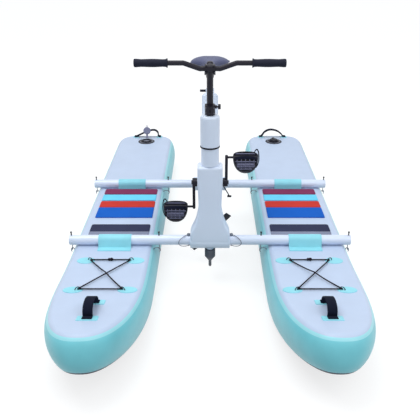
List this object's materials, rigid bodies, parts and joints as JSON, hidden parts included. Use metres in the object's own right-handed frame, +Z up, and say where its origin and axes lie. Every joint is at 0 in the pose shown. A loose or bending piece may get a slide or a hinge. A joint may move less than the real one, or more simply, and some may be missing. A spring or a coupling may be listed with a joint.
{
  "type": "pontoon water bike",
  "caption": "Pedal-driven water bike: inflatable twin pontoons joined by cross tubes, with a steered rudder, a lowering propeller leg, an adjustable saddle and handlebar.",
  "frame": {"origin": "on the ground, midway between the pontoons and midway along them", "axes": "+X to the right of the picture (the rider's left), -Y towards the bow, +Z up; names say left and right as the picture does"},
  "size_m": [1.4, 2.69, 1.1502],
  "materials": {
    "pvc": "coated fabric, pale deck with teal walls",
    "teal_pvc": "coated fabric, satin",
    "pad_blue": "closed-cell foam, matt",
    "pad_red": "closed-cell foam, matt",
    "pad_sky": "closed-cell foam, matt",
    "pad_maroon": "closed-cell foam, matt",
    "pad_charcoal": "diamond-grooved foam, matt",
    "cord": "braided elastic cord",
    "webbing": "woven webbing",
    "black_plastic": "moulded, satin",
    "graphite_plastic": "moulded, satin",
    "frame_paint": "powder coat, satin",
    "tube_alloy": "anodised, satin",
    "black_alloy": "black anodised, satin",
    "steel": "brushed",
    "rubber": "matt",
    "saddle_cover": "coated cover, satin"
  },
  "bodies": {
    "frame": {"pontoon_left": "pvc", "pontoon_right": "pvc", "pad_blue_left": "pad_blue", "pad_blue_right": "pad_blue", "pad_red_left": "pad_red", "pad_red_right": "pad_red", "pad_sky_left": "pad_sky", "pad_sky_right": "pad_sky", "pad_maroon_left": "pad_maroon", "pad_maroon_right": "pad_maroon", "tread_pad_left": "pad_charcoal", "tread_pad_right": "pad_charcoal", "bungee_left": "cord", "bungee_right": "cord", "bow_handle_left": "webbing", "bow_handle_right": "webbing", "stern_handle_left": "webbing", "stern_handle_right": "webbing", "front_strap_left": "teal_pvc", "front_strap_right": "teal_pvc", "rear_strap_left": "teal_pvc", "rear_strap_right": "teal_pvc", "lock_pin_left": "steel", "lock_pin_right": "steel", "front_tube_left": "tube_alloy", "front_tube_right": "tube_alloy", "rear_tube": "tube_alloy", "front_pillar": "frame_paint", "column": "frame_paint", "drive_housing": "frame_paint", "rear_strut": "frame_paint", "head_seal": "rubber", "seat_mast": "frame_paint"},
    "valve_cap_left": {"valve_cap_left": "black_plastic"},
    "valve_cap_right": {"valve_cap_right": "black_plastic"},
    "steering": {"steering_head": "frame_paint", "stem_collar": "black_alloy"},
    "knob": {"star_knob": "black_plastic"},
    "stem": {"stem": "black_alloy", "handlebar": "black_alloy", "grip_left": "rubber", "grip_right": "rubber"},
    "rudder": {"rudder": "graphite_plastic"},
    "crank": {"crank_axle": "steel", "crank_arm_left": "black_alloy", "crank_arm_right": "black_alloy"},
    "pedal_left": {"pedal_left": "black_plastic"},
    "pedal_right": {"pedal_right": "black_plastic"},
    "pinion": {"pinion_shaft": "steel"},
    "leg_stage": {"leg_stage": "tube_alloy"},
    "middle_shaft": {"middle_shaft": "steel"},
    "leg_pod": {"leg_pod": "graphite_plastic"},
    "lower_shaft": {"lower_shaft": "steel"},
    "propeller": {"prop_shaft": "steel", "propeller": "black_plastic"},
    "leg_lock_lever": {"leg_lock_lever": "black_alloy"},
    "seat": {"seat_post": "black_alloy", "rail_clamp": "black_alloy", "saddle": "saddle_cover"},
    "seat_lever": {"seat_lever": "black_alloy"}
  },
  "joints": [
    {"name": "valve_cap_left_open", "type": "hinge", "parent": "frame", "child": "valve_cap_left", "pos_m": [-0.472, 1.228, 0.2323], "axis": [1, 0, 0], "range_deg": [0, 105]},
    {"name": "valve_cap_right_open", "type": "hinge", "parent": "frame", "child": "valve_cap_right", "pos_m": [0.472, 1.228, 0.2323], "axis": [-1, 0, 0], "range_deg": [0, 105]},
    {"name": "steering_turn", "type": "hinge", "parent": "frame", "child": "steering", "pos_m": [0, -0.435, 0.7], "axis": [0, 0, 1], "range_deg": [-45, 45]},
    {"name": "stem_height", "type": "slide", "parent": "steering", "child": "stem", "axis": [0, 0, 1], "range_m": [-0.11, 0.05]},
    {"name": "knob_turn", "type": "hinge", "parent": "steering", "child": "knob", "pos_m": [0.033, -0.435, 0.9237], "axis": [1, 0, 0], "continuous": true},
    {"name": "rudder_lower", "type": "slide", "parent": "steering", "child": "rudder", "axis": [0, 0, -1], "range_m": [0, 0.18]},
    {"name": "seat_height", "type": "slide", "parent": "frame", "child": "seat", "axis": [0, 0.2588, 0.9659], "range_m": [-0.05, 0.11]},
    {"name": "seat_lever_open", "type": "hinge", "parent": "frame", "child": "seat_lever", "pos_m": [0.0092, 0.10121, 0.86587], "axis": [0, -0.2588, -0.9659], "range_deg": [0, 95]},
    {"name": "crank_turn", "type": "hinge", "parent": "frame", "child": "crank", "pos_m": [0, -0.155, 0.44], "axis": [1, 0, 0], "continuous": true},
    {"name": "pedal_left_spin", "type": "hinge", "parent": "crank", "child": "pedal_left", "pos_m": [-0.184, -0.155, 0.3], "axis": [1, 0, 0], "continuous": true},
    {"name": "pedal_right_spin", "type": "hinge", "parent": "crank", "child": "pedal_right", "pos_m": [0.184, -0.155, 0.58], "axis": [1, 0, 0], "continuous": true},
    {"name": "pinion_turn", "type": "hinge", "parent": "frame", "child": "pinion", "pos_m": [0, -0.155, 0.39], "axis": [0, 0, 1], "continuous": true},
    {"name": "leg_lower", "type": "slide", "parent": "frame", "child": "leg_stage", "axis": [0, 0, -1], "range_m": [0, 0.12]},
    {"name": "middle_shaft_turn", "type": "hinge", "parent": "leg_stage", "child": "middle_shaft", "pos_m": [0, -0.155, 0.3], "axis": [0, 0, 1], "continuous": true},
    {"name": "leg_extend", "type": "slide", "parent": "leg_stage", "child": "leg_pod", "axis": [0, 0, -1], "range_m": [0, 0.12]},
    {"name": "lower_shaft_turn", "type": "hinge", "parent": "leg_pod", "child": "lower_shaft", "pos_m": [0, -0.155, 0.25], "axis": [0, 0, 1], "continuous": true},
    {"name": "propeller_turn", "type": "hinge", "parent": "leg_pod", "child": "propeller", "pos_m": [0, -0.217, 0.183], "axis": [0, 1, 0], "continuous": true},
    {"name": "leg_lock_turn", "type": "hinge", "parent": "frame", "child": "leg_lock_lever", "pos_m": [0.0503, -0.366, 0.53], "axis": [1, 0, 0], "range_deg": [-45, 15]}
  ],
  "couplings": [
    {"joint": "pinion_turn", "follows": "crank_turn", "ratio": 3},
    {"joint": "middle_shaft_turn", "follows": "crank_turn", "ratio": 3},
    {"joint": "lower_shaft_turn", "follows": "crank_turn", "ratio": 3},
    {"joint": "propeller_turn", "follows": "crank_turn", "ratio": 3}
  ]
}
